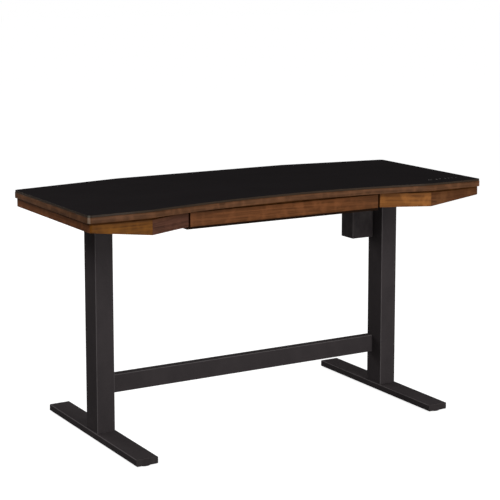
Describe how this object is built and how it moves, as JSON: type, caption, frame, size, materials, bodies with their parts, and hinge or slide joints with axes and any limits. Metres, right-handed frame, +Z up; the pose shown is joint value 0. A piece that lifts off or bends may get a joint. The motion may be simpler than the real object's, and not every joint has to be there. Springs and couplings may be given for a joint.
{
  "type": "height-adjustable desk",
  "caption": "Sit-stand writing desk: black glass top with bowed front, stained wood apron with a shallow drawer, and a motorised steel frame with telescopic columns.",
  "frame": {"origin": "on the floor, midway between the two columns, at the desk's lowest height", "axes": "+X along the desk's width to the user's right, +Y from the user towards the back, +Z up"},
  "size_m": [1.4, 0.64, 0.752],
  "materials": {
    "black_powder_coat": "powder coated, fine texture",
    "black_plastic": "moulded, matt",
    "lead_jacket": "smooth, matt",
    "zinc_plated_steel": "zinc plated",
    "cast_housing": "die cast",
    "gear_brass": "machined",
    "nut_plastic": "natural acetal",
    "walnut_stain": "stained and lacquered, satin",
    "black_board": "black lacquer",
    "drawer_wood": "clear lacquer",
    "black_glass": "tempered, back painted, polished"
  },
  "bodies": {
    "base": {"left_foot": "black_powder_coat", "right_foot": "black_powder_coat", "foot_end_caps": "black_plastic", "left_outer_column": "black_powder_coat", "right_outer_column": "black_powder_coat", "column_collars": "black_plastic", "stretcher": "black_powder_coat", "base_bolts": "zinc_plated_steel", "nut_posts": "zinc_plated_steel", "spindle_nuts": "nut_plastic"},
    "top": {"left_inner_column": "black_powder_coat", "right_inner_column": "black_powder_coat", "column_slide_pads": "black_plastic", "left_gear_housing": "cast_housing", "right_gear_housing": "cast_housing", "spindle_bearings": "zinc_plated_steel", "left_arm": "black_powder_coat", "right_arm": "black_powder_coat", "crossbar": "black_powder_coat", "arm_screws": "zinc_plated_steel", "frame_bolts": "zinc_plated_steel", "motor_can": "zinc_plated_steel", "motor_gearbox": "cast_housing", "motor_cover": "black_plastic", "control_box": "black_plastic", "power_inlet": "black_plastic", "leads": "lead_jacket", "lead_clips": "black_plastic", "touch_panel": "black_plastic", "desktop_panel": "walnut_stain", "edge_band": "walnut_stain", "glass_top": "black_glass", "left_side_apron": "walnut_stain", "right_side_apron": "walnut_stain", "back_apron": "walnut_stain", "back_wings": "walnut_stain", "left_outer_facet": "walnut_stain", "right_outer_facet": "walnut_stain", "left_inner_facet": "walnut_stain", "right_inner_facet": "walnut_stain", "corner_blocks": "drawer_wood", "housing_bottom": "black_board", "housing_sides": "black_board", "fixed_runners": "zinc_plated_steel"},
    "drawer": {"drawer_front": "walnut_stain", "drawer_left_side": "drawer_wood", "drawer_right_side": "drawer_wood", "drawer_back": "drawer_wood", "drawer_bottom": "drawer_wood", "drawer_runners": "zinc_plated_steel"},
    "middle_runners": {"middle_runners": "zinc_plated_steel"},
    "left_spindle": {"left_spindle": "zinc_plated_steel"},
    "right_spindle": {"right_spindle": "zinc_plated_steel"},
    "drive_shaft": {"drive_shaft": "zinc_plated_steel", "shaft_worms": "gear_brass"},
    "motor_worm": {"motor_worm": "gear_brass"},
    "front_left_glide": {"front_left_glide": "black_plastic"},
    "front_right_glide": {"front_right_glide": "black_plastic"},
    "rear_left_glide": {"rear_left_glide": "black_plastic"},
    "rear_right_glide": {"rear_right_glide": "black_plastic"}
  },
  "joints": [
    {"name": "lift", "type": "slide", "parent": "base", "child": "top", "axis": [0, 0, 1], "range_m": [0, 0.457]},
    {"name": "drawer_slide", "type": "slide", "parent": "top", "child": "drawer", "axis": [0, -1, 0], "range_m": [0, 0.15]},
    {"name": "middle_runner_slide", "type": "slide", "parent": "top", "child": "middle_runners", "axis": [0, -1, 0], "range_m": [0, 0.075]},
    {"name": "left_spindle_turn", "type": "hinge", "parent": "top", "child": "left_spindle", "pos_m": [-0.528, 0, 0.3], "axis": [0, 0, 1], "range_deg": [0, 20580]},
    {"name": "right_spindle_turn", "type": "hinge", "parent": "top", "child": "right_spindle", "pos_m": [0.528, 0, 0.3], "axis": [0, 0, 1], "range_deg": [0, 20580]},
    {"name": "drive_shaft_turn", "type": "hinge", "parent": "top", "child": "drive_shaft", "pos_m": [0, 0.03, 0.704], "axis": [1, 0, 0], "range_deg": [0, 41140]},
    {"name": "motor_worm_turn", "type": "hinge", "parent": "top", "child": "motor_worm", "pos_m": [0.455, 0.05, 0.7], "axis": [0, 0, 1], "range_deg": [0, 164530]},
    {"name": "front_left_glide_turn", "type": "hinge", "parent": "base", "child": "front_left_glide", "pos_m": [-0.528, -0.296, 0], "axis": [0, 0, 1], "range_deg": [-360, 1080]},
    {"name": "front_right_glide_turn", "type": "hinge", "parent": "base", "child": "front_right_glide", "pos_m": [0.528, -0.296, 0], "axis": [0, 0, 1], "range_deg": [-360, 1080]},
    {"name": "rear_left_glide_turn", "type": "hinge", "parent": "base", "child": "rear_left_glide", "pos_m": [-0.528, 0.296, 0], "axis": [0, 0, 1], "range_deg": [-360, 1080]},
    {"name": "rear_right_glide_turn", "type": "hinge", "parent": "base", "child": "rear_right_glide", "pos_m": [0.528, 0.296, 0], "axis": [0, 0, 1], "range_deg": [-360, 1080]}
  ],
  "couplings": [
    {"joint": "left_spindle_turn", "follows": "lift", "rad_per_m": 785.4},
    {"joint": "right_spindle_turn", "follows": "lift", "rad_per_m": 785.4},
    {"joint": "drive_shaft_turn", "follows": "lift", "rad_per_m": 1570.8},
    {"joint": "motor_worm_turn", "follows": "lift", "rad_per_m": 6283.2},
    {"joint": "middle_runner_slide", "follows": "drawer_slide", "ratio": 0.5}
  ]
}
